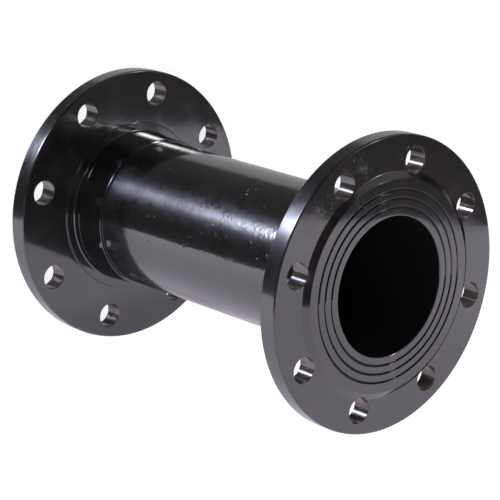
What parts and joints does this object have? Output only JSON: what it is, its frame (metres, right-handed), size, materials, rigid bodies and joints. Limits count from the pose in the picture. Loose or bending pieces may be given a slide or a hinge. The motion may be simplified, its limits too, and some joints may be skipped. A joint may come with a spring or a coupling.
{
  "type": "double flanged pipe",
  "caption": "Short straight iron pipe with a drilled flange cast on at each end, raised sealing faces with turned gasket grooves, and gloss black paint all over.",
  "frame": {"origin": "centre of the lower raised face, which the pipe stands on", "axes": "+Z along the pipe's axis, from the lower flange to the upper one; X and Y are the flange's centre lines, which the bolt holes straddle"},
  "size_m": [0.215, 0.215, 0.3],
  "materials": {
    "black_paint": "gloss black bituminous paint over cast and turned iron"
  },
  "bodies": {
    "root": {"flanged_pipe": "black_paint"}
  },
  "joints": []
}
